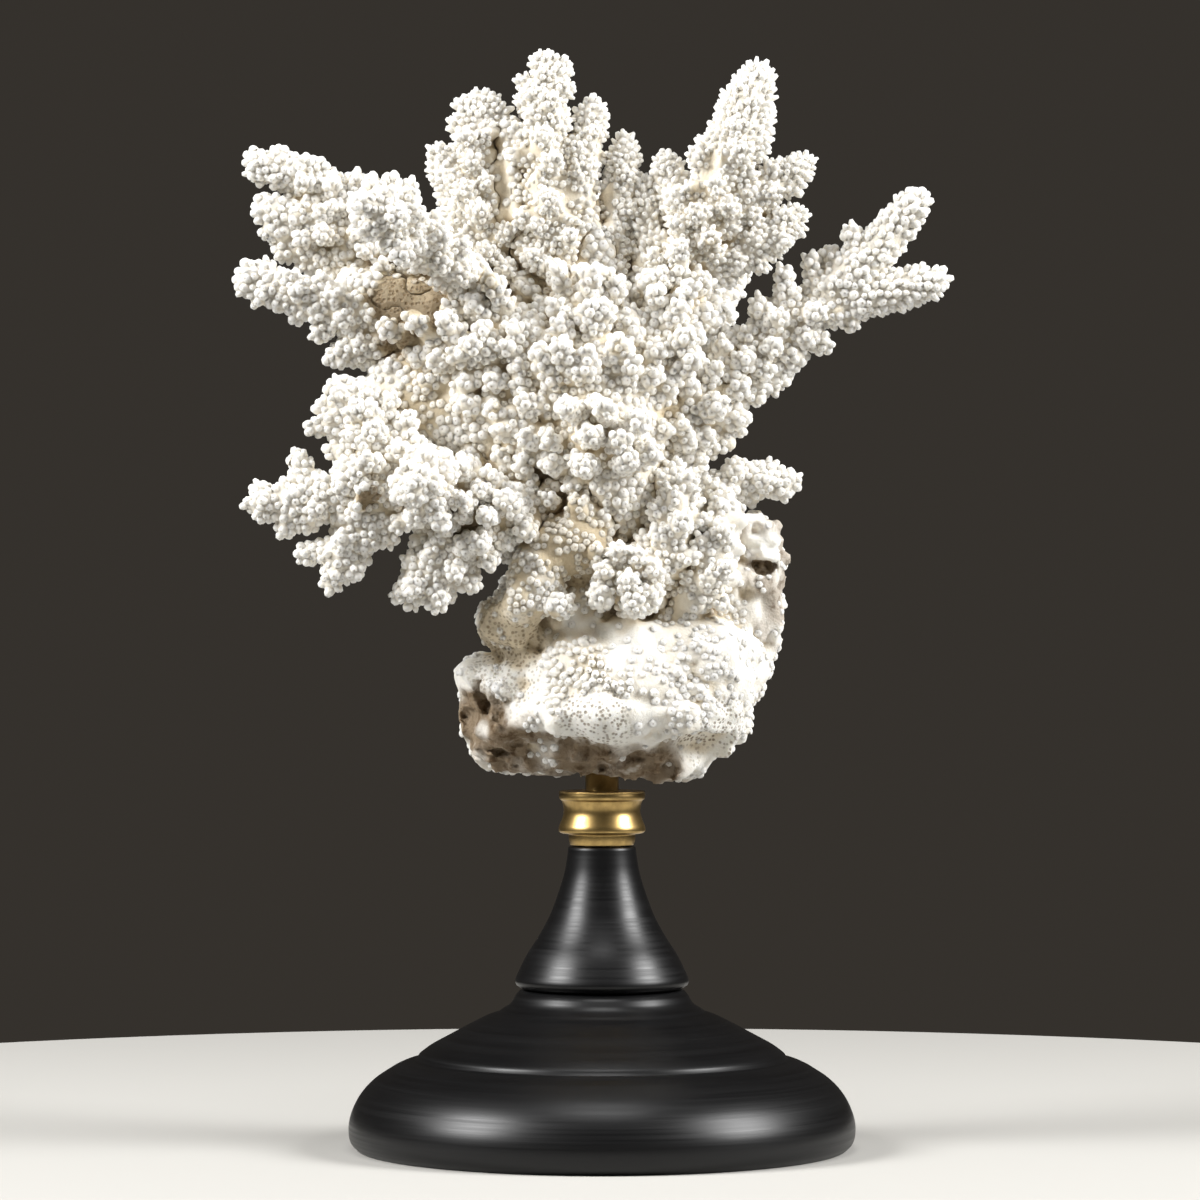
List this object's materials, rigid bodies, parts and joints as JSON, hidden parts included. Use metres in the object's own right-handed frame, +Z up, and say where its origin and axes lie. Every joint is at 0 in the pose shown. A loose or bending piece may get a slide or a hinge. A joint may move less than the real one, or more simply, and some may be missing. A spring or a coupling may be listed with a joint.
{
  "type": "branching coral on a turned stand",
  "caption": "Bleached branching stony coral held upright on a rod, with a brass collar and a round turned black wooden foot.",
  "frame": {"origin": "centre of the wooden foot's flat underside", "axes": "+Z up through the rod, -Y towards the front that shows the coral best, +X to the viewer's right"},
  "size_m": [0.2125, 0.152, 0.3306],
  "materials": {
    "black_wood": "turned wood, satin black lacquer",
    "brass": "satin turned brass, lightly aged",
    "coral": "dry bleached coral skeleton, matt, cream in its hollows"
  },
  "bodies": {
    "root": {"foot": "black_wood", "neck": "black_wood", "collar": "brass", "rod": "brass", "crown": "coral", "holdfast": "coral", "lower_left_branch": "coral", "left_low_arm": "coral", "left_high_arm": "coral", "front_branch": "coral", "top_left_branch": "coral", "top_centre_branch": "coral", "top_finger": "coral", "top_right_branch": "coral", "right_arm": "coral", "right_spray": "coral", "rear_left_arm": "coral", "rear_centre_arm": "coral", "rear_right_arm": "coral", "rear_low_branch": "coral"}
  },
  "joints": []
}
